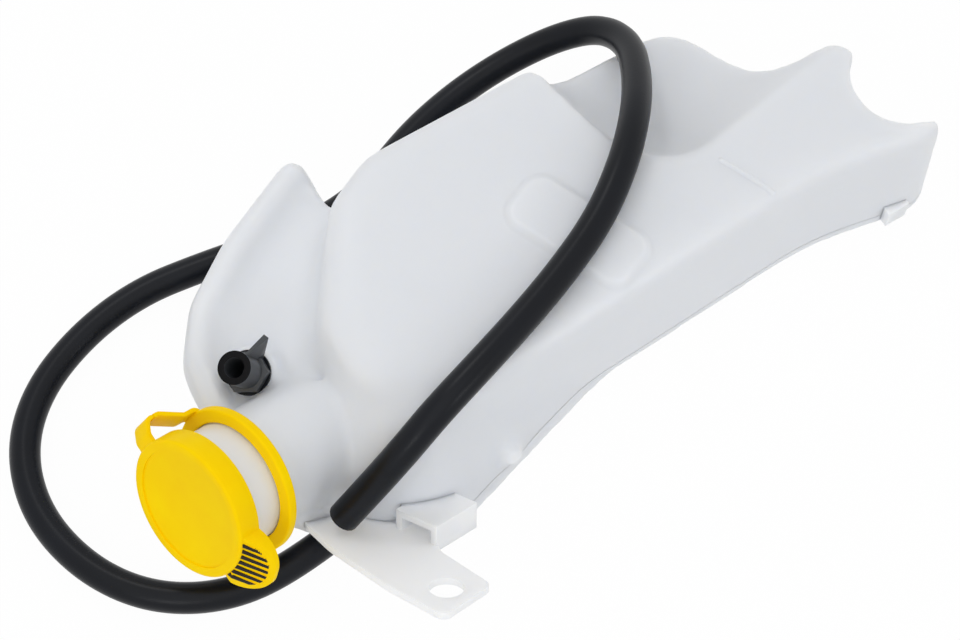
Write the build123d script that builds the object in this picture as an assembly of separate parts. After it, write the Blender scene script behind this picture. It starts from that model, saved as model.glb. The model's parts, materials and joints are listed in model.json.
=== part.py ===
"""Coolant expansion tank lying on its back, with tethered snap cap, hose nozzle and loose overflow hose.

Millimetres. The flat back lies on Z 0, X runs toward the filler neck and Y toward the bolt tab.
"""
import os
from math import radians, tan

from build123d import *

os.makedirs("parts", exist_ok=True)

# Blown shell: wall, gap between touching pieces, and main volume
wall = 2.6
contact = 0.03
height = 70.0
draft = 3.0
crown_round = 9.0
foot_round = 5.0

# Outlines list each corner as x, y and corner radius, anticlockwise
plan = [
    (84, 63, 16), (-100, 53, 160), (-171.5, 67, 15), (-149, -8, 18), (-118, -12, 20),
    (-103, -67, 24), (64, -66, 30), (90, -53, 18), (125, -4, 24), (125, 34, 18),
]

# Hollow of the tail end, and cove along the far side
notch = [
    (-135, 51, 22), (-163.5, 51, 7), (-175, 100, 1), (-230, 100, 1), (-230, -40, 1), (-141.5, -40, 1),
    (-152.4, 3.5, 9), (-135, 15.5, 23),
]
cove_at = (-25, -45, 110)
cove_turn = 10.0
cove_radius = 75.0
cove_round = 30.0

# Flared corner of the body below the bolt tab, and the slope from there to the neck
flare_height = 66.0
flare_draft = 20.0
flare = [(136, 96, 28), (-10, 52.5, 28), (10, -30, 28), (132, -20, 28), (132, 40, 28)]
slope_height = 44.0
slope_draft = 36.0
slope = [(151, 58, 34), (128, 96, 34), (40, 54, 34), (60, -20, 34), (151, 8, 34)]

# Raised shoulder beside the neck, with the rolled ridge along its far edge
deck_floor = 15.5
deck_top = 34.0
deck_round = 4.0
deck = [
    (152, 30, 12), (60, 40, 6), (60, -48, 6), (82, -66, 6), (80, -98, 7),
    (130, -75, 40), (158, -55, 20), (176, -30, 16), (178, 5, 30),
]
ridge_radius = 6.6
ridge_bend = 14.0
ridge_line = [(88, -87), (127.5, -67), (152.5, -49), (167.5, -27), (170, -6)]

# Raised pad and level line on the top face, pip and lug on the near side
level_turn = 113.0
pad_at = (9, 20)
pad_length = 56.0
pad_width = 25.0
pad_corner = 9.0
pad_height = 0.9
line_at = (-70, 34)
line_length = 28.0
line_width = 1.4
pip_at = (72, 73, 20)
pip_tilt = 65.0
pip_radius = 8.0
pip_height = 10.0
lug_at = (-141, 58, 12)
lug_size = 11.0

# Filler neck: centre of the tether ring, direction, and turn of the thumb lip about the neck
neck_at = (179.7, 32.4, 45.9)
neck_yaw = 12.8
neck_pitch = 27.0
neck_turn = 72.0
neck_radius = 26.0
neck_rim = 24.0
neck_root = 52.0
bead_height = 2.0
bead_width = 3.0

# Snap cap with its seal
seal_thick = 1.6
cap_gap = 1.6
cap_wall = 3.0
cap_skirt = 10.5
cap_plate = 2.4
cap_rim = 4.5
cap_recess = 0.9
cap_round = 1.4
lip_turn = 24.0
lip_shift = -7.5
lip_reach = 13.0
lip_width = 33.0
lip_skew = 10.5
lip_corner = 12.0
lip_edge = 1.8
bar_count = 9
bar_pitch = 3.2
bar_width = 1.7
bar_height = 0.6
bar_inset = 2.4

# Tether: ring under the cap, and strap with its hinge line
ring_gap = 0.4
ring_width = 6.1
ring_thick = 4.5
ring_round = 1.0
strap_width = 11.0
strap_thick = 1.8
strap_stand = 0.9
strap_rise = 2.2
strap_run = 7.0
strap_reach = 6.5
strap_bend = 3.0
strap_root = 1.5
hinge_lift = 3.5
hinge_gap = 0.6

# Bolt tab in its own sloping plane about the bolt hole, with the hollow catch at its root
tab_at = (131.9, 120.0, 53.8)
tab_along = (0.851, 0.169, 0.497)
tab_normal = (-0.342, -0.541, 0.77)
tab_thick = 3.0
bolt_radius = 7.1
tab = [
    (15.6, 12.1, 4), (-13.6, 12.1, 4), (-19, -19, 8), (-34, -40, 6), (-28, -72, 4), (-1, -82, 4),
    (7.2, -57, 60), (13.5, -20, 60),
]
catch_at = (-34, -34.5)
catch_width = 26.0
catch_length = 22.0
catch_height = 12.0
catch_wall = 3.0

# Nozzle and its grommet, leaning toward the neck
nozzle_at = (150, -11, 34)
nozzle_yaw = 26.6
nozzle_lean = 20.4
nozzle_radius = 7.2
nozzle_bore = 4.4
nozzle_length = 25.6
boss_radius = 12.0
boss_height = 4.5
grommet_wall = 2.2
grommet_flange = 9.8
grommet_lip = 1.5
hex_flats = 17.0
hex_height = 4.0
fin_thick = 2.4
fin_turn = -11.0
fin_gap = 2.4
fin_width = 7.0
fin_tip = 2.5
fin_height = 14.0

# Elbow under the nozzle, and the pickup tube on its spigot
elbow_drop = 9.5
elbow_radius = 5.9
spigot_radius = 3.6
spigot_bore = 2.4
spigot_length = 18.0
pickup_wall = 1.3
pickup_bend = 20.0
pickup_run = 45.0
pickup_turn = (40, 0)
pickup_end = (-118, 24)

# Overflow hose
hose_radius = 6.75
hose_bore = 4.0
hose_line = [
    (149, 65, 33), (134.5, 65.2, 49.5), (118.5, 64.8, 67), (100, 61, 78.5), (77, 54, 80), (50, 44.5, 78.3),
    (23, 34, 78), (-3, 21.5, 78.3), (-25, 5.5, 80), (-43, -12.5, 75.5), (-59.5, -34, 63.5), (-72.5, -58, 49),
    (-71.5, -78.5, 36.5), (-57, -91, 25), (-33, -98, 14.5), (-4, -98, 8.5), (27, -90.5, 7), (57, -76, 7),
    (86, -72.5, 7), (113, -76, 7), (141, -81, 7), (171, -84.5, 7), (202, -79, 7), (231, -65, 7),
    (250, -43, 7), (257, -13, 7), (250, 19, 7), (233, 44.5, 7), (207, 60.5, 7), (176, 64.5, 7),
    (147, 60, 7),
]


def moved_in(corners, by):
    """Outline with every side moved inward; outer corners grow sharper and hollow ones rounder."""
    moved = []
    for before, corner, after in zip(corners[-1:] + corners[:-1], corners, corners[1:] + corners[:1]):
        arrive = Vector(corner[0] - before[0], corner[1] - before[1]).normalized()
        leave = Vector(after[0] - corner[0], after[1] - corner[1]).normalized()
        shift = by / (1 + arrive.dot(leave))
        outer = arrive.cross(leave).Z > 0
        moved.append((
            corner[0] - shift * (arrive.Y + leave.Y),
            corner[1] + shift * (arrive.X + leave.X),
            max(corner[2] + (-by if outer else by), 0.6),
        ))
    return moved


def face(corners, z=0.0):
    """Flat face with rounded corners."""
    flat = make_face(Polyline(*[(x, y) for x, y, _ in corners], close=True))
    for x, y, radius in corners:
        flat = fillet(flat.vertices().sort_by_distance((x, y, 0))[0], radius)
    return Pos(0, 0, z) * flat


def rim(solid, index):
    """Edges of the lowest (0) or highest (-1) face."""
    return solid.faces().sort_by(Axis.Z)[index].edges()


def upright(radius, low, high):
    """Cylinder about the local Z axis."""
    return Pos(0, 0, low) * Cylinder(radius, high - low, align=(Align.CENTER, Align.CENTER, Align.MIN))


def bar(line, radius):
    """Round bar along a line."""
    return sweep(Plane(origin=line @ 0, z_dir=line % 0) * Circle(radius), path=line)


def body(by=0.0):
    """Main volume, less the hollow of its tail and the cove along its far side."""
    beyond = 2 * min(x for x, _, _ in plan)
    solid = extrude(face(moved_in(plan, by), by), height - 2 * by, taper=draft)
    solid = fillet(rim(solid, -1), crown_round - by)
    solid = fillet(rim(solid, 0), foot_round - by)
    cove = upright(cove_radius + by, -by, cove_at[0] - beyond)
    cove = fillet(rim(cove, 0), cove_round + by)
    solid -= Pos(*cove_at) * Rot(0, 0, cove_turn) * Rot(0, -90, 0) * cove
    return solid - extrude(face(moved_in(notch, -by), -wall), height + 2 * wall)


def flank(by=0.0):
    """Flared corner, and the slope down to the neck."""
    solid = extrude(face(moved_in(flare, by), by), flare_height - 2 * by, taper=flare_draft)
    return solid + extrude(
        face(moved_in(slope, by), deck_floor + by), slope_height - 2 * by, taper=slope_draft)


def shoulder(by=0.0):
    """Raised deck with its ridge."""
    solid = extrude(face(moved_in(deck, by), deck_floor + by), deck_top - deck_floor - 2 * by)
    solid = fillet(rim(solid, -1) + rim(solid, 0), deck_round - by)
    line = FilletPolyline(*[(x, y, deck_top) for x, y in ridge_line], radius=ridge_bend)
    radius = ridge_radius - by
    return solid + bar(line, radius) + [Pos(*(line @ end)) * Sphere(radius) for end in (0, 1)]


neck = Pos(*neck_at) * Rot(0, 0, neck_yaw) * Rot(0, 90 - neck_pitch, 0) * Rot(0, 0, neck_turn)
tab_place = Plane(origin=tab_at, x_dir=tab_along, z_dir=tab_normal).location
nozzle = Pos(*nozzle_at) * Rot(0, 0, nozzle_yaw) * Rot(0, nozzle_lean, 0)
elbow = nozzle * Pos(0, 0, -elbow_drop)


def stub(by=0.0, over=0.0):
    """Filler neck, flat underneath where it meets the shoulder."""
    solid = neck * upright(neck_radius - by, by - neck_root, neck_rim + over)
    side = 4 * neck_root
    return solid - Pos(*neck_at[:2], deck_floor + by) * Box(
        side, side, side, align=(Align.CENTER, Align.CENTER, Align.MAX))


# Tank
shell = body() + flank() + shoulder() + stub()
bead_top = -ring_thick / 2 - contact
shell += neck * upright(neck_radius + bead_height, bead_top - bead_width, bead_top)
shell += nozzle * upright(boss_radius, -boss_height, boss_height)
shell += tab_place * extrude(face(tab), tab_thick / 2, both=True)
catch_size = (catch_width, catch_length, catch_height)
mouth = Box(catch_width, catch_length - 2 * catch_wall, catch_height)
shell += tab_place * Pos(*catch_at, catch_height / 2 - tab_thick / 2) * (
    Box(*catch_size) - Pos(catch_width / 2, 0, -catch_wall) * mouth)
shell += Pos(*pip_at) * Rot(-pip_tilt, 0, 0) * Cone(pip_radius, pip_radius / 2, pip_height)
shell += Pos(*lug_at) * Box(lug_size, lug_size, lug_size)
marks = Pos(*pad_at) * Rot(0, 0, level_turn) * RectangleRounded(pad_length, pad_width, pad_corner)
marks += Pos(*line_at) * Rot(0, 0, level_turn) * Rectangle(line_length, line_width)
shell += Pos(0, 0, height - wall / 2) * extrude(marks, wall / 2 + pad_height)
shell -= body(wall) + flank(wall) + shoulder(wall) + stub(wall, over=wall)
grommet_radius = nozzle_radius + grommet_wall
shell -= nozzle * upright(grommet_radius, -boss_height - 3 * wall, boss_height + wall)
shell -= tab_place * Cylinder(bolt_radius, 4 * tab_thick)
export_step(shell, "parts/tank.step")

# Seal and cap
cap_radius = neck_radius + cap_gap + cap_wall
ring_radius = neck_radius + ring_gap + ring_width
seal_low = neck_rim + contact
plate_low = seal_low + seal_thick + contact
plate_top = plate_low + cap_plate
skirt_low = plate_top - cap_skirt
export_step(neck * upright(neck_radius, seal_low, seal_low + seal_thick), "parts/cap_seal.step")

# Thumb lip and tether strap in the frame of the neck
lip_edge_at = cap_radius + lip_reach
lip_root = cap_radius - lip_reach
lip_high = plate_top - cap_round


def lip(inset, over):
    """Thumb lip with its outline moved in and its sloping top raised."""
    left, right = lip_shift + lip_width / 2, lip_shift - lip_width / 2
    outline = [
        (lip_edge_at, left, lip_corner), (lip_root, left, 1), (lip_root, right + lip_skew, 1),
        (lip_edge_at, right, lip_corner)]
    side = Polyline(
        (lip_root, skirt_low), (lip_edge_at, skirt_low), (lip_edge_at, skirt_low + lip_edge + over),
        (cap_radius - cap_round, lip_high + over), (lip_root, lip_high + over), close=True)
    solid = extrude(face(moved_in(outline, inset), skirt_low), lip_high + over - skirt_low)
    return solid & extrude(Plane.XZ * make_face(side), lip_width, both=True)


def strap(*points):
    """Flat band of the tether along a line in the plane of the hinge."""
    band = trace(FilletPolyline(*points, radius=strap_bend), strap_thick)
    return extrude(Plane.XZ * band, strap_width / 2, both=True)


cap = upright(cap_radius, skirt_low, plate_top)
cap = fillet(rim(cap, -1), cap_round)
cap -= upright(neck_radius + cap_gap, skirt_low, plate_low)
cap -= upright(cap_radius - cap_rim, plate_top - cap_recess, plate_top)
bars = Part() + [
    Pos(0, lip_shift + (i - (bar_count - 1) / 2) * bar_pitch, skirt_low)
    * Box(2 * lip_edge_at, bar_width, 4 * cap_skirt)
    for i in range(bar_count)]
bars = lip(bar_inset, bar_height) & bars
bars -= upright(cap_radius, skirt_low, plate_top)
thumb = lip(0, 0) - upright(neck_radius + cap_gap, skirt_low, plate_low)
cap += Rot(0, 0, lip_turn) * (thumb + bars)
strap_x = -ring_radius - strap_reach
riser_x = -ring_radius - strap_stand
hinge_z = skirt_low + hinge_lift
arm_z = plate_top - strap_thick
cap += strap(
    (strap_root - cap_radius, arm_z), (riser_x, arm_z), (strap_x, hinge_z + strap_rise), (strap_x, hinge_z))
cap += Pos(strap_x, 0, hinge_z) * Rot(90, 0, 0) * Cylinder(strap_thick / 2, strap_width)
export_step(neck * cap, "parts/filler_cap.step")

# Tether ring
ring = upright(ring_radius, -ring_thick / 2, ring_thick / 2)
ring -= upright(neck_radius + ring_gap, -ring_thick, ring_thick)
ring = fillet(ring.edges(), ring_round)
strap_end = hinge_z - strap_thick / 2 - hinge_gap
ring += strap(
    (strap_root + strap_bend - ring_radius, 0), (riser_x, 0), (riser_x, strap_run),
    (strap_x, strap_end - strap_rise), (strap_x, strap_end))
export_step(neck * ring, "parts/tether_ring.step")

# Grommet in the boss of the shoulder
seat = boss_height + contact
sleeve_low = -wall - grommet_lip
grommet = upright(grommet_radius - contact, sleeve_low, seat)
grommet += upright(grommet_flange, seat, seat + grommet_lip)
grommet -= upright(nozzle_radius + contact, sleeve_low, seat + grommet_lip)
export_step(nozzle * grommet, "parts/fitting_grommet.step")

# Nozzle with its collar, fin and elbow
collar = seat + grommet_lip + contact
fitting = upright(nozzle_radius, -elbow_drop, nozzle_length)
fitting += Pos(0, 0, collar) * extrude(RegularPolygon(hex_flats / 2, 6, major_radius=False), hex_height)
fin_root = nozzle_radius + fin_gap
fin_edge = fin_root + fin_width
fin = make_face(Polyline(
    (0, collar), (-fin_edge, collar), (-fin_edge, collar + fin_height - fin_tip),
    (fin_tip - fin_edge, collar + fin_height), (-fin_root, collar + hex_height), (0, collar + hex_height),
    close=True,
))
fitting += Rot(0, 0, fin_turn) * extrude(Plane.XZ * fin, fin_thick / 2, both=True)
fitting -= upright(nozzle_bore, 0, nozzle_length)
fitting -= upright(spigot_bore, -elbow_drop, 0)
way = elbow.position
branch = Plane(origin=way, z_dir=(-1, 0, 0)).location
fitting = nozzle * fitting + Pos(*way) * Sphere(elbow_radius)
fitting += branch * upright(spigot_radius, 0, spigot_length)
fitting -= branch * upright(spigot_bore, 0, spigot_length)
fitting -= elbow * upright(spigot_bore, 0, elbow_drop)
export_step(fitting, "parts/hose_fitting.step")

# Pickup tube pushed on the spigot
pickup_radius = spigot_radius + contact + pickup_wall
low_run = wall + pickup_radius + contact
start = way + Vector(-nozzle_radius - contact, 0, 0)
line = FilletPolyline(
    tuple(start), (start.X - pickup_run, start.Y, start.Z), (*pickup_turn, low_run), (*pickup_end, low_run),
    radius=pickup_bend)
export_step(bar(line, pickup_radius) - bar(line, spigot_radius + contact), "parts/pickup_tube.step")


def bend_radii(points):
    """Largest arc that the two runs at each corner of the hose leave room for."""
    radii = []
    for before, corner, after in zip(points, points[1:], points[2:]):
        arrive = Vector(*corner) - Vector(*before)
        leave = Vector(*after) - Vector(*corner)
        half_turn = radians(arrive.get_angle(leave)) / 2
        radii.append(0.45 * min(arrive.length, leave.length) / tan(half_turn))
    return radii


# Overflow hose
radii = bend_radii(hose_line)
print("hose radii", [round(radius) for radius in radii])
line = FilletPolyline(*hose_line, radius=radii)
print("hose length", round(line.length))
export_step(bar(line, hose_radius) - bar(line, hose_bore), "parts/overflow_hose.step")
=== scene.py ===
"""Coolant expansion tank lying on its back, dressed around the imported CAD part. Metres, in the part's frame."""
import json
from math import radians

import bpy
from mathutils import Matrix, Vector

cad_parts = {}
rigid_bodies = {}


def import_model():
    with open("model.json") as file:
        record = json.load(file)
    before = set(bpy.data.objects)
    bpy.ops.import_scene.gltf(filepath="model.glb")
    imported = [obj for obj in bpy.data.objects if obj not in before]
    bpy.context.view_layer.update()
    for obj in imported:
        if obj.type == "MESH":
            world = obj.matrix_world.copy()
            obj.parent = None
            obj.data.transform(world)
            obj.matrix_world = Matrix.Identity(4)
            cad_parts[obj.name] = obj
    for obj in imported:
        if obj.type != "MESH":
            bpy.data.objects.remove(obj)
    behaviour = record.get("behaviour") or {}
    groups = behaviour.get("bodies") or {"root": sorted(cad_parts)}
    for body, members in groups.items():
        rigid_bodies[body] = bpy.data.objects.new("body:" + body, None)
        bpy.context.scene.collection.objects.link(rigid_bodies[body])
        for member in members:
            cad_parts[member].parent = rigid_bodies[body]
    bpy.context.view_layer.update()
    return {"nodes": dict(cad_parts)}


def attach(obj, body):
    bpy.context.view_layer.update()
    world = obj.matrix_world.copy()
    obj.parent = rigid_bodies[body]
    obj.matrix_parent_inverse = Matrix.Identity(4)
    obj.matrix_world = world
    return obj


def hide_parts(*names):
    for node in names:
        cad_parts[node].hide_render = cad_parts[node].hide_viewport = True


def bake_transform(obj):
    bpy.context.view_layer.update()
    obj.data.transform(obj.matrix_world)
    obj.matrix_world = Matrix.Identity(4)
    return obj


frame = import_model()
nodes = frame["nodes"]
scene = bpy.context.scene
scene.view_settings.view_transform = "Standard"

# Studio: a sheet of white paper under a large soft box and three small lamps, seen from above the near side.
# Paper and room show plain white to the camera, in reflections and through clear pieces. To all other rays they
# give the light of white paper in a pale room.


def linear(colour):
    """Linear RGBA of an sRGB hex colour."""
    parts = [int(colour[i:i + 2], 16) / 255 for i in (1, 3, 5)]
    return [p / 12.92 if p <= 0.04045 else ((p + 0.055) / 1.055) ** 2.4 for p in parts] + [1.0]


def add(tree, kind, inputs=None, **settings):
    """One shader node, with its settings, and a value or another node's output on each named input."""
    made = tree.nodes.new("ShaderNode" + kind)
    for name, value in settings.items():
        setattr(made, name, value)
    for name, value in (inputs or {}).items():
        if isinstance(value, bpy.types.NodeSocket):
            tree.links.new(value, made.inputs[name])
        else:
            made.inputs[name].default_value = value
    return made


camera = bpy.data.objects.new("camera", bpy.data.cameras.new("camera"))
camera.location = (0.24468, 0.32937, 0.817)
camera.rotation_euler = (radians(25), 0, radians(148.5))
camera.data.lens = 75
camera.data.sensor_width = 36
scene.collection.objects.link(camera)
scene.camera = camera

tank_middle = Vector((0.02, 0.0, 0.03))
for name, place, size, power in (
        ("soft_box", (0.32, 0.30, 1.15), 1.2, 1.7),
        ("side_lamp", (0.85, 0.62, 0.66), 0.25, 0.9),
        ("near_fill", (-0.35, 0.95, 0.65), 0.18, 0.7),
        ("rim_light", (0.0, -0.65, 1.05), 0.2, 1.0)):
    lamp = bpy.data.objects.new(name, bpy.data.lights.new(name, "AREA"))
    lamp.data.size = size
    lamp.data.energy = power
    lamp.location = place
    lamp.rotation_euler = (tank_middle - lamp.location).to_track_quat("-Z", "Y").to_euler()
    scene.collection.objects.link(lamp)

room_light = 0.77
scene.world = bpy.data.worlds.new("studio")
scene.world.use_nodes = True
tree = scene.world.node_tree
rays = add(tree, "LightPath")
seen = add(tree, "Math", {0: rays.outputs["Is Camera Ray"], 1: rays.outputs["Is Transmission Ray"]},
           operation="MAXIMUM")
seen = add(tree, "Math", {0: seen.outputs[0], 1: rays.outputs["Is Glossy Ray"]}, operation="MAXIMUM")
level = add(tree, "MapRange", {"Value": seen.outputs[0], "To Min": room_light, "To Max": 1.0})
tree.links.new(level.outputs[0], tree.nodes["Background"].inputs["Strength"])
tree.nodes["Background"].inputs["Color"].default_value = linear("#FFFFFF")

bpy.ops.object.select_all(action="DESELECT")
paper_width = 8
paper_top = -0.0004
bpy.ops.mesh.primitive_plane_add(size=paper_width, location=(0, 0, paper_top))
paper = bpy.context.object
paper.name = "paper"
paper_white = bpy.data.materials.new("white_paper")
paper_white.use_nodes = True
tree = paper_white.node_tree
rays = add(tree, "LightPath")
seen = add(tree, "Math", {0: rays.outputs["Is Camera Ray"], 1: rays.outputs["Is Transmission Ray"]},
           operation="MAXIMUM")
seen = add(tree, "Math", {0: seen.outputs[0], 1: rays.outputs["Is Glossy Ray"]}, operation="MAXIMUM")
white_share = 0.97
share = add(tree, "Math", {0: seen.outputs[0], 1: white_share}, operation="MULTIPLY")
tree.nodes["Principled BSDF"].inputs["Base Color"].default_value = linear("#F1F2F3")
tree.nodes["Principled BSDF"].inputs["Roughness"].default_value = 0.9
glow = add(tree, "Emission", {"Color": linear("#FFFFFF"), "Strength": 1.0})
sheet = add(tree, "MixShader", {0: share.outputs[0], 1: tree.nodes["Principled BSDF"].outputs[0], 2: glow.outputs[0]})
tree.links.new(sheet.outputs[0], tree.nodes["Material Output"].inputs["Surface"])
paper.data.materials.append(paper_white)

# Overflow hose: a cut length of plain black rubber hose, 13.5 mm outside and 8 mm inside, with both ends bare.
# It lies loose over the tank, drops off its far side, and comes round on the floor to end under the shoulder.


def only(piece):
    """Selects one object alone and makes it the active one."""
    bpy.ops.object.select_all(action="DESELECT")
    piece.select_set(True)
    bpy.context.view_layer.objects.active = piece


def apply(piece, kind, **settings):
    """Puts one modifier on a piece and applies it."""
    only(piece)
    modifier = piece.modifiers.new(kind.lower(), kind)
    for name, value in settings.items():
        setattr(modifier, name, value)
    bpy.ops.object.modifier_apply(modifier=modifier.name)


hose_radius = 0.00675
hose_wall = 0.00275
cut_edge = 0.0004
# Middle line of the hose in millimetres, from the end on the tank to the end on the floor.
hose_line = [
    (149, 65, 33), (134.5, 65.2, 49.5), (118.5, 64.8, 67), (100, 61, 78.5), (77, 54, 80), (50, 44.5, 78.3),
    (23, 34, 78), (-3, 21.5, 78.3), (-25, 5.5, 80), (-43, -12.5, 75.5), (-59.5, -34, 63.5), (-72.5, -58, 49),
    (-71.5, -78.5, 36.5), (-57, -91, 25), (-33, -98, 14.5), (-4, -98, 8.5), (27, -90.5, 7), (57, -76, 7),
    (86, -72.5, 7), (113, -76, 7), (141, -81, 7), (171, -84.5, 7), (202, -79, 7), (231, -65, 7),
    (250, -43, 7), (257, -13, 7), (250, 19, 7), (233, 44.5, 7), (207, 60.5, 7), (176, 64.5, 7),
    (147, 60, 7),
]
route = bpy.data.curves.new("rubber_hose", "CURVE")
route.dimensions = "3D"
route.resolution_u = 10
spline = route.splines.new("NURBS")
spline.points.add(len(hose_line) - 1)
for point, place in zip(spline.points, hose_line):
    point.co = (*[p / 1000 for p in place], 1)
spline.order_u = 3
spline.use_endpoint_u = True
hose = bpy.data.objects.new("rubber_hose", route)
scene.collection.objects.link(hose)
hose_path = [v.co.copy() for v in bpy.data.meshes.new_from_object(hose).vertices]
route.bevel_depth = hose_radius
route.bevel_resolution = 8
only(hose)
bpy.ops.object.convert(target="MESH")
hose = bpy.context.object
apply(hose, "SOLIDIFY", thickness=hose_wall, offset=-1, use_rim=True)
apply(hose, "BEVEL", width=cut_edge, segments=2, limit_method="ANGLE", angle_limit=radians(60))
only(hose)
bpy.ops.object.shade_smooth()

# Extruded EPDM: near black, satin, with a faint dusty bloom in patches of about 30 mm and a fine grain from the die.
# The grain is drawn 1.2 mm wide, coarser than the real one, so that it shows.
bloom_patch = 0.03
die_grain = 0.0012
rubber = bpy.data.materials.new("epdm_rubber")
rubber.use_nodes = True
tree = rubber.node_tree
surface = tree.nodes["Principled BSDF"]
place = add(tree, "TexCoord").outputs["Object"]
bloom = add(tree, "TexNoise", {"Vector": place, "Scale": 1 / bloom_patch, "Detail": 4.0, "Roughness": 0.6})
tint = add(tree, "ValToRGB", {"Fac": bloom.outputs["Fac"]})
tint.color_ramp.elements[0].position, tint.color_ramp.elements[1].position = 0.35, 0.7
tint.color_ramp.elements[0].color = linear("#070A11")
tint.color_ramp.elements[1].color = linear("#0B0F17")
tree.links.new(tint.outputs["Color"], surface.inputs["Base Color"])
rough = add(tree, "MapRange", {"Value": bloom.outputs["Fac"], "To Min": 0.28, "To Max": 0.4})
tree.links.new(rough.outputs[0], surface.inputs["Roughness"])
surface.inputs["Specular IOR Level"].default_value = 0.2
grain = add(tree, "TexNoise", {"Vector": place, "Scale": 1 / die_grain, "Detail": 2.0})
bump = add(tree, "Bump", {"Height": grain.outputs["Fac"], "Strength": 0.12, "Distance": 0.0003})
tree.links.new(bump.outputs[0], surface.inputs["Normal"])
hose.data.materials.append(rubber)
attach(hose, "tank_body")
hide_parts("overflow_hose")

# Tank: one blow-moulded bottle of natural high-density polyethylene, about 2.6 mm thick.
# The parison takes the mould's corners with soft round blends, so the copied solid is remeshed and relaxed.


def copy_of(node, name):
    """A CAD node's mesh as a new piece, with its loose triangles merged."""
    piece = bpy.data.objects.new(name, nodes[node].data.copy())
    piece.data.materials.clear()
    scene.collection.objects.link(piece)
    only(piece)
    bpy.ops.mesh.customdata_custom_splitnormals_clear()
    bpy.ops.object.mode_set(mode="EDIT")
    bpy.ops.mesh.select_all(action="SELECT")
    bpy.ops.mesh.remove_doubles(threshold=1e-5)
    bpy.ops.mesh.select_all(action="DESELECT")
    bpy.ops.object.mode_set(mode="OBJECT")
    return piece


def pick(piece, wanted, others=False):
    """Opens a piece for editing with the faces selected whose vertices all pass a test, or the other faces."""
    only(piece)
    bpy.ops.object.mode_set(mode="EDIT")
    bpy.ops.mesh.select_mode(type="FACE")
    bpy.ops.mesh.select_all(action="DESELECT")
    bpy.ops.object.mode_set(mode="OBJECT")
    passed = [wanted(v.co) for v in piece.data.vertices]
    for face in piece.data.polygons:
        face.select = all(passed[i] for i in face.vertices) != others
    bpy.ops.object.mode_set(mode="EDIT")


def delete_faces(piece, wanted):
    """Deletes the faces whose vertices all pass a test on their place."""
    pick(piece, wanted)
    bpy.ops.mesh.delete(type="FACE")
    bpy.ops.mesh.select_mode(type="VERT")
    bpy.ops.mesh.select_all(action="DESELECT")
    bpy.ops.object.mode_set(mode="OBJECT")


wall = 0.0026
neck_at = Vector((0.1797, 0.0324, 0.0459))
neck_axis = Vector((0.86886444, 0.19740116, 0.4539905))
neck_rim = 0.024
nozzle_at = Vector((0.150, -0.011, 0.034))
nozzle_axis = Vector((0.31167717, 0.1560763, 0.93728199))
hole_radius = 0.0094


def off_axis(place, start, axis):
    """Distance from an axis, and height along it."""
    height = (place - start).dot(axis)
    return (place - start - height * axis).length, height


def on_neck_rim(place):
    """On the flat end of the neck."""
    return abs(off_axis(place, neck_at, neck_axis)[1] - neck_rim) < 1e-4


def in_grommet_hole(place):
    """On the wall of the hole that takes the grommet."""
    return abs(off_axis(place, nozzle_at, nozzle_axis)[0] - hole_radius) < 5e-5


tank = copy_of("tank", "tank_shell")
delete_faces(tank, on_neck_rim)
delete_faces(tank, in_grommet_hole)
lowest = min(tank.data.vertices, key=lambda v: v.co.z)
lowest.select = True
bpy.ops.object.mode_set(mode="EDIT")
bpy.ops.mesh.select_linked()
bpy.ops.mesh.select_all(action="INVERT")
bpy.ops.mesh.delete(type="VERT")
bpy.ops.object.mode_set(mode="OBJECT")

# Bolt tab with its catch, and tail lug: pinched or blown out of the same wall, with crisper edges.
# They are parted from the skin before it is relaxed, and go back on with small round edges.
tab_at = Vector((0.1319, 0.1200, 0.0538))
tab_along = Vector((0.84920, 0.16864, 0.49595))
tab_normal = Vector((-0.34156563, -0.54031289, 0.76902204))
tab_out = tab_normal.cross(tab_along)
tab_half = 0.00152
catch_along, catch_out = -0.034, -0.0345
catch_half_length, catch_half_width, catch_top = 0.0131, 0.0111, 0.0106
lug_at = Vector((-0.141, 0.058, 0.012))
lug_half = 0.00552
moulded_edge = 0.0012
into_wall = (0.0012, -0.0030, -0.0012)


def on_fixings(place):
    """On the tab, the catch or the lug."""
    from_tab = place - tab_at
    along, out, up = from_tab.dot(tab_along), from_tab.dot(tab_out), from_tab.dot(tab_normal)
    on_tab = abs(up) < tab_half
    beside_catch = abs(along - catch_along) < catch_half_length and abs(out - catch_out) < catch_half_width
    on_catch = beside_catch and -tab_half < up < catch_top
    on_lug = max(abs(side) for side in place - lug_at) < lug_half
    return on_tab or on_catch or on_lug


pick(tank, on_fixings)
bpy.ops.mesh.separate(type="SELECTED")
bpy.ops.object.mode_set(mode="OBJECT")
fixings = next(piece for piece in bpy.context.selected_objects if piece != tank)
fixings.name = "fixings"
apply(fixings, "BEVEL", width=moulded_edge, segments=4, limit_method="ANGLE", angle_limit=radians(50))
only(fixings)
bpy.ops.object.mode_set(mode="EDIT")
bpy.ops.mesh.select_mode(type="EDGE")
bpy.ops.mesh.select_all(action="DESELECT")
bpy.ops.mesh.select_non_manifold(use_wire=False, use_multi_face=False, use_non_contiguous=False, use_verts=False)
bpy.ops.mesh.extrude_region_move(TRANSFORM_OT_translate={"value": into_wall})
bpy.ops.mesh.select_all(action="SELECT")
bpy.ops.mesh.normals_make_consistent(inside=False)
bpy.ops.object.mode_set(mode="OBJECT")

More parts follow.
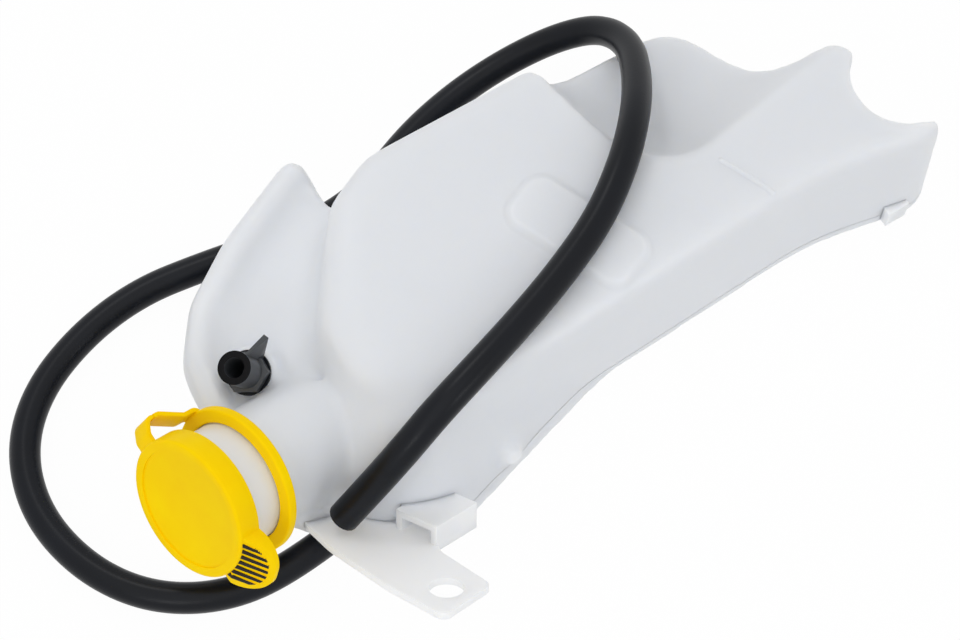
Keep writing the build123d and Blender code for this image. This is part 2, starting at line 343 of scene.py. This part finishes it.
# Skin of the tank: blown HDPE, round wherever two lobes meet, and crisp only at the neck, nozzle boss and pip.
# The neck is lengthened before the skin is relaxed and trimmed after, so that its rim stays sharp.
# A block is sunk in the wall behind the bolt tab, so that the tab grows out of a soft root.
neck_spare = 0.008
tab_root_at = Vector((-0.014, -0.083, -0.0025))
tab_root_size = (0.032, 0.026, 0.0076)
skin_grid = 0.0021
only(tank)
for vertex in tank.data.vertices:
    vertex.select = on_neck_rim(vertex.co)
bpy.ops.object.mode_set(mode="EDIT")
bpy.ops.mesh.select_mode(type="VERT")
bpy.ops.transform.translate(value=neck_spare * neck_axis)
bpy.ops.mesh.select_all(action="SELECT")
bpy.ops.mesh.fill_holes(sides=0)
bpy.ops.mesh.normals_make_consistent(inside=False)
bpy.ops.object.mode_set(mode="OBJECT")
tab_turned = Matrix((tab_along, tab_out, tab_normal)).transposed()
bpy.ops.object.select_all(action="DESELECT")
bpy.ops.mesh.primitive_cube_add(
    size=1, location=tab_at + tab_turned @ tab_root_at, rotation=tab_turned.to_euler(), scale=tab_root_size)
tab_root = bpy.context.object
bpy.ops.object.transform_apply(location=True, rotation=True, scale=True)
only(tank)
tab_root.select_set(True)
bpy.ops.object.join()
apply(tank, "REMESH", mode="VOXEL", voxel_size=skin_grid)

crisp_share, pip_share = 0.12, 0.06
neck_reach, neck_foot = 0.030, -0.004
boss_reach, boss_foot = 0.0125, 0.002
pip_at = Vector((0.072, 0.076, 0.0215))
pip_reach = 0.011
soft = tank.vertex_groups.new(name="soft")
for vertex in tank.data.vertices:
    from_neck, up_neck = off_axis(vertex.co, neck_at, neck_axis)
    from_nozzle, up_nozzle = off_axis(vertex.co, nozzle_at, nozzle_axis)
    on_neck = up_neck > neck_foot and from_neck < neck_reach
    on_boss = up_nozzle > boss_foot and from_nozzle < boss_reach
    on_pip = (vertex.co - pip_at).length < pip_reach
    soft.add([vertex.index], crisp_share if on_neck or on_boss else pip_share if on_pip else 1.0, "REPLACE")
apply(tank, "SMOOTH", factor=0.5, iterations=26, vertex_group="soft")

# Root of the neck: the widest blend of the moulding, relaxed once more, and fading out up the neck and over the tank.
root_top, root_fade = -0.008, 0.012
root_reach, reach_fade = 0.075, 0.02
boss_clear = 0.016
root = tank.vertex_groups.new(name="neck_root")
for vertex in tank.data.vertices:
    from_neck, up_neck = off_axis(vertex.co, neck_at, neck_axis)
    below = min(1, max(0, (root_top - up_neck) / root_fade))
    share = below * min(1, max(0, (root_reach - from_neck) / reach_fade))
    if share > 0 and off_axis(vertex.co, nozzle_at, nozzle_axis)[0] > boss_clear:
        root.add([vertex.index], share, "REPLACE")
apply(tank, "SMOOTH", factor=0.5, iterations=70, vertex_group="neck_root")

only(tank)
bpy.ops.object.mode_set(mode="EDIT")
bpy.ops.mesh.select_all(action="SELECT")
bpy.ops.mesh.bisect(plane_co=neck_at + neck_rim * neck_axis, plane_no=neck_axis, clear_outer=True)
bpy.ops.object.mode_set(mode="OBJECT")


under_radius, under_foot = 0.0086, -0.002


def under_grommet(place):
    """On the skin that closes the hole under the grommet."""
    radius, height = off_axis(place, nozzle_at, nozzle_axis)
    return radius < under_radius and height > under_foot


delete_faces(tank, under_grommet)

# Raised pad and level line: pressed up out of the top face by shallow pockets in the mould.
# The skin is divided finer there, and lifted with soft ramps at the edges.
mark_turn = Matrix.Rotation(radians(-113), 3, "Z")
top_floor = 0.06
mark_margin = 0.002


def mark_distance(place, middle, half_length, half_width, corner):
    """Distance outside the rounded outline of a mark on the top face, negative inside it."""
    across = mark_turn @ Vector((place.x - middle[0], place.y - middle[1], 0))
    over = [max(abs(across.x) - half_length + corner, 0), max(abs(across.y) - half_width + corner, 0)]
    return (over[0] ** 2 + over[1] ** 2) ** 0.5 - corner


for name, middle, half_length, half_width, corner, ramp, lift, cuts in (
        ("pad", (0.006, 0.0185), 0.0308, 0.0139, 0.009, 0.0044, 0.0019, 2),
        ("level_line", (-0.070, 0.034), 0.014, 0.0007, 0.0004, 0.0011, 0.0008, 4)):
    pick(tank, lambda place: place.z > top_floor and mark_distance(
        place, middle, half_length, half_width, corner) < 2 * ramp + mark_margin)
    bpy.ops.mesh.subdivide(number_cuts=cuts)
    bpy.ops.object.mode_set(mode="OBJECT")
    raised = tank.vertex_groups.new(name=name)
    for vertex in tank.data.vertices:
        share = 0.5 - mark_distance(vertex.co, middle, half_length, half_width, corner) / ramp
        share = min(max(share, 0), 1)
        if vertex.co.z > top_floor and share > 0:
            raised.add([vertex.index], share * share * (3 - 2 * share), "REPLACE")
    apply(tank, "DISPLACE", strength=lift, mid_level=0, direction="Z", vertex_group=name)

# Parting line: the thin bead of HDPE squeezed out where the two halves of the mould met.
# It runs low on the wall all the way round, so it is cut from the skin at that height and given a thickness.
bead_height = 0.0106
bead_radius = 0.00014
bead = tank.copy()
bead.data = tank.data.copy()
scene.collection.objects.link(bead)
only(bead)
bpy.ops.object.mode_set(mode="EDIT")
bpy.ops.mesh.select_all(action="SELECT")
bpy.ops.mesh.bisect(plane_co=(0, 0, bead_height), plane_no=(0, 0, 1), clear_inner=True, clear_outer=True)
bpy.ops.object.mode_set(mode="OBJECT")
bpy.ops.object.convert(target="CURVE")
bpy.context.object.data.bevel_depth = bead_radius
bpy.context.object.data.bevel_resolution = 1
bpy.ops.object.convert(target="MESH")
bead = bpy.context.object

apply(tank, "SOLIDIFY", thickness=wall, offset=-1, use_rim=True)
only(tank)
fixings.select_set(True)
bead.select_set(True)
bpy.ops.object.join()
bpy.ops.object.shade_smooth_by_angle(angle=radians(50))

# Natural HDPE: milky white, waxy and a little translucent, with a faint cool cast and an uneven blown skin.
# Its thickness drifts over about 50 mm, and the skin ripples by about 4 mm.
thick_patch = 0.05
skin_ripple = 0.004
hdpe = bpy.data.materials.new("natural_hdpe")
hdpe.use_nodes = True
tree = hdpe.node_tree
surface = tree.nodes["Principled BSDF"]
place = add(tree, "TexCoord").outputs["Object"]
cloud = add(tree, "TexNoise", {"Vector": place, "Scale": 1 / thick_patch, "Detail": 3.0, "Roughness": 0.55})
milk = add(tree, "ValToRGB", {"Fac": cloud.outputs["Fac"]})
milk.color_ramp.elements[0].position, milk.color_ramp.elements[1].position = 0.3, 0.72
milk.color_ramp.elements[0].color = linear("#F6F8FB")
milk.color_ramp.elements[1].color = linear("#FAFBFD")
tree.links.new(milk.outputs["Color"], surface.inputs["Base Color"])
surface.inputs["Subsurface Weight"].default_value = 0.7
surface.inputs["Subsurface Radius"].default_value = (1.0, 0.9, 0.75)
surface.inputs["Subsurface Scale"].default_value = 0.011
surface.inputs["IOR"].default_value = 1.54
rough = add(tree, "MapRange", {"Value": cloud.outputs["Fac"], "To Min": 0.32, "To Max": 0.44})
tree.links.new(rough.outputs[0], surface.inputs["Roughness"])
peel = add(tree, "TexNoise", {"Vector": place, "Scale": 1 / skin_ripple, "Detail": 3.0, "Roughness": 0.5})
bump = add(tree, "Bump", {"Height": peel.outputs["Fac"], "Strength": 0.06, "Distance": 0.0004})
tree.links.new(bump.outputs[0], surface.inputs["Normal"])
tank.data.materials.clear()
tank.data.materials.append(hdpe)
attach(tank, "tank_body")
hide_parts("tank")

# Tether ring and cap: injection-moulded yellow polypropylene, the ring sprung round the neck under the cap.
# A flat strap ties them together, and bends at a thin living hinge. The plastic is a deep, even yellow with a satin
# spark-eroded grain of 0.8 mm and flow marks of about 20 mm.
flow_mark = 0.02
mould_grain = 0.0008
yellow = bpy.data.materials.new("moulded_polypropylene")
yellow.use_nodes = True
tree = yellow.node_tree
surface = tree.nodes["Principled BSDF"]
place = add(tree, "TexCoord").outputs["Object"]
flow = add(tree, "TexNoise", {"Vector": place, "Scale": 1 / flow_mark, "Detail": 3.0})
tint = add(tree, "ValToRGB", {"Fac": flow.outputs["Fac"]})
tint.color_ramp.elements[0].position, tint.color_ramp.elements[1].position = 0.3, 0.75
tint.color_ramp.elements[0].color = linear("#FCD000")
tint.color_ramp.elements[1].color = linear("#FFD800")
tree.links.new(tint.outputs["Color"], surface.inputs["Base Color"])
surface.inputs["Subsurface Weight"].default_value = 0.1
surface.inputs["Subsurface Radius"].default_value = (1.0, 0.7, 0.2)
surface.inputs["Subsurface Scale"].default_value = 0.0015
surface.inputs["IOR"].default_value = 1.49
surface.inputs["Specular IOR Level"].default_value = 0.04
rough = add(tree, "MapRange", {"Value": flow.outputs["Fac"], "To Min": 0.36, "To Max": 0.46})
tree.links.new(rough.outputs[0], surface.inputs["Roughness"])
grain = add(tree, "TexNoise", {"Vector": place, "Scale": 1 / mould_grain, "Detail": 2.0})
bump = add(tree, "Bump", {"Height": grain.outputs["Fac"], "Strength": 0.08, "Distance": 0.0002})
tree.links.new(bump.outputs[0], surface.inputs["Normal"])

# Black hot-stamped foil on the grip bars of the thumb lip: flat, dull and a little rubbed, in specks of 1.5 mm.
rubbed_speck = 0.0015
foil = bpy.data.materials.new("black_stamping_foil")
foil.use_nodes = True
tree = foil.node_tree
surface = tree.nodes["Principled BSDF"]
place = add(tree, "TexCoord").outputs["Object"]
rub = add(tree, "TexNoise", {"Vector": place, "Scale": 1 / rubbed_speck, "Detail": 3.0})
tint = add(tree, "ValToRGB", {"Fac": rub.outputs["Fac"]})
tint.color_ramp.elements[0].color = linear("#16140F")
tint.color_ramp.elements[1].color = linear("#24211A")
tree.links.new(tint.outputs["Color"], surface.inputs["Base Color"])
surface.inputs["Roughness"].default_value = 0.5
surface.inputs["Specular IOR Level"].default_value = 0.2

neck_heading, neck_lean, strap_turn, lip_turn = 12.8, 63, 72, 24
neck_turned = (Matrix.Rotation(radians(neck_heading), 4, "Z") @ Matrix.Rotation(radians(neck_lean), 4, "Y")
               @ Matrix.Rotation(radians(strap_turn), 4, "Z"))
lip_place = (Matrix.Translation(neck_at) @ neck_turned @ Matrix.Rotation(radians(lip_turn), 4, "Z")).inverted()
lip_top, lip_low = 0.02666, 0.01936
lip_start, lip_end = 0.0292, 0.0436
cap_rim = 0.0306
bar_rise = 0.00022


def above_lip(place):
    """Height above the sloping top of the thumb lip, which runs down from the cap's rim to the lip's edge."""
    on_lip = lip_place @ place
    slope = (lip_top - lip_low) / (lip_end - lip_start)
    beside_cap = on_lip.x > 0 and on_lip.xy.length > cap_rim
    return on_lip.z - lip_top + max(on_lip.x - lip_start, 0) * slope if beside_cap else -1


for name, body in (("tether_ring", "tank_body"), ("filler_cap", "cap_body")):
    piece = copy_of(name, name + "_moulding")
    apply(piece, "BEVEL", width=0.0003, segments=2, limit_method="ANGLE", angle_limit=radians(40))
    only(piece)
    bpy.ops.object.shade_smooth_by_angle(angle=radians(35))
    piece.data.materials.append(yellow)
    if name == "filler_cap":
        piece.data.materials.append(foil)
        for face in piece.data.polygons:
            face.material_index = int(above_lip(face.center) > bar_rise)
    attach(piece, body)
    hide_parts(name)

# Living hinge: the thinned web of the same yellow moulding between the two halves of the strap.
# It is moulded in one piece with both.
hinge_at = neck_at + neck_turned @ Vector((-0.0390, 0, 0.0202))
web_size = (0.0008, 0.0104, 0.0020)
web_edge = 0.0001
bpy.ops.object.select_all(action="DESELECT")
bpy.ops.mesh.primitive_cube_add(
    size=1, location=hinge_at, rotation=neck_turned.to_euler(), scale=web_size)
web = bpy.context.object
web.name = "hinge_web"
bpy.ops.object.transform_apply(location=True, rotation=True, scale=True)
bpy.ops.object.mode_set(mode="EDIT")
bpy.ops.mesh.select_all(action="SELECT")
bpy.ops.mesh.subdivide(number_cuts=6)
bpy.ops.object.mode_set(mode="OBJECT")
apply(web, "BEVEL", width=web_edge, segments=2, limit_method="ANGLE", angle_limit=radians(60))
only(web)
bpy.ops.object.shade_smooth_by_angle(angle=radians(40))
web.data.materials.append(yellow)
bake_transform(web)

# Cap seal and grommet: a flat disc and a ring of soft black rubber, moulded in the same black as the hose.
# The disc is pressed into the cap, and the ring into the boss of the shoulder, where it grips the nozzle.
seal_rubber = rubber.copy()
seal_rubber.name = "moulded_seal_rubber"
for name in ("cap_seal", "fitting_grommet"):
    nodes[name].data.materials.clear()
    nodes[name].data.materials.append(seal_rubber)

# Nozzle: injection-moulded black nylon fitting with a hexagon collar and a finger fin, pushed into the grommet.
# The fin leans out from the collar and runs up into the barrel, so its corners are moved to that outline.
# The plastic is a dark satin grey with a grain of 0.9 mm, and the end face of the tip is painted darker and less
# glossy, as painted shade.
nylon_grain = 0.0009
nylon = bpy.data.materials.new("black_nylon")
nylon.use_nodes = True
tree = nylon.node_tree
surface = tree.nodes["Principled BSDF"]
place = add(tree, "TexCoord").outputs["Object"]
grain = add(tree, "TexNoise", {"Vector": place, "Scale": 1 / nylon_grain, "Detail": 2.0})
tint = add(tree, "ValToRGB", {"Fac": grain.outputs["Fac"]})
tint.color_ramp.elements[0].color = linear("#323438")
tint.color_ramp.elements[1].color = linear("#3E4145")
tree.links.new(tint.outputs["Color"], surface.inputs["Base Color"])
surface.inputs["Roughness"].default_value = 0.42
surface.inputs["IOR"].default_value = 1.53
bump = add(tree, "Bump", {"Height": grain.outputs["Fac"], "Strength": 0.1, "Distance": 0.0002})
tree.links.new(bump.outputs[0], surface.inputs["Normal"])
fitting = copy_of("hose_fitting", "hose_nozzle")
fin_turn = Matrix.Rotation(radians(4), 3, nozzle_axis)
fin_outer, foot_below, point_below = 0.012, 0.008, 0.019
foot_reach = 0.0110
point_reach, point_height = 0.0178, 0.016
barrel_radius, crest_height = 0.0068, 0.0235
fin_inner, inner_slack, collar_top = 0.00967, 6e-5, 0.0095
for vertex in fitting.data.vertices:
    radius, height = off_axis(vertex.co, nozzle_at, nozzle_axis)
    from_axis = vertex.co - nozzle_at - height * nozzle_axis
    if radius > fin_outer:
        outward = from_axis / radius
        outward.rotate(fin_turn)
        if height < foot_below:
            reach = foot_reach
        elif height < point_below:
            reach, height = point_reach, point_height
        else:
            reach, height = barrel_radius, crest_height
        vertex.co = nozzle_at + height * nozzle_axis + reach * outward
    elif abs(radius - fin_inner) < inner_slack and height > collar_top:
        vertex.co += (barrel_radius / radius - 1) * from_axis
apply(fitting, "BEVEL", width=0.0004, segments=2, limit_method="ANGLE", angle_limit=radians(40))
only(fitting)
bpy.ops.object.shade_smooth_by_angle(angle=radians(35))
fitting.data.materials.append(nylon)
# Painted shade: a darker, less glossy copy of the nylon for the tip's end face, standing in for the shade on that
# face.
shaded_tip_nylon = nylon.copy()
shaded_tip_nylon.name = "nylon_tip_painted_shade"
shaded_tip_tint = next(node for node in shaded_tip_nylon.node_tree.nodes if node.type == "VALTORGB")
shaded_tip_tint.color_ramp.elements[0].color = linear("#0B0B0D")
shaded_tip_tint.color_ramp.elements[1].color = linear("#121214")
shaded_tip_nylon.node_tree.nodes["Principled BSDF"].inputs["Specular IOR Level"].default_value = 0.08
fitting.data.materials.append(shaded_tip_nylon)
# Faces on the end of the tip take the painted-shade copy.
tip_radius, tip_depth = 0.0075, 0.0005
places = [off_axis(vertex.co, nozzle_at, nozzle_axis) for vertex in fitting.data.vertices]
tip = max(height for radius, height in places if radius < tip_radius)
for face in fitting.data.polygons:
    radius, height = off_axis(face.center, nozzle_at, nozzle_axis)
    face.material_index = int(radius < tip_radius and height > tip - tip_depth)
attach(fitting, "tank_body")
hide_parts("hose_fitting")

# Pickup tube: a pale nylon tube, extruded and cut to length, out of sight inside the tank.
# It is pushed on the nozzle's elbow and runs to the tail. The nylon clouds a little, in patches of about 20 mm.
nylon_patch = 0.02
pale_nylon = bpy.data.materials.new("natural_nylon")
pale_nylon.use_nodes = True
tree = pale_nylon.node_tree
surface = tree.nodes["Principled BSDF"]
place = add(tree, "TexCoord").outputs["Object"]
cloud = add(tree, "TexNoise", {"Vector": place, "Scale": 1 / nylon_patch, "Detail": 2.0})
tint = add(tree, "ValToRGB", {"Fac": cloud.outputs["Fac"]})
tint.color_ramp.elements[0].color = linear("#CFCFC8")
tint.color_ramp.elements[1].color = linear("#DAD9D2")
tree.links.new(tint.outputs["Color"], surface.inputs["Base Color"])
surface.inputs["Roughness"].default_value = 0.4
nodes["pickup_tube"].data.materials.clear()
nodes["pickup_tube"].data.materials.append(pale_nylon)
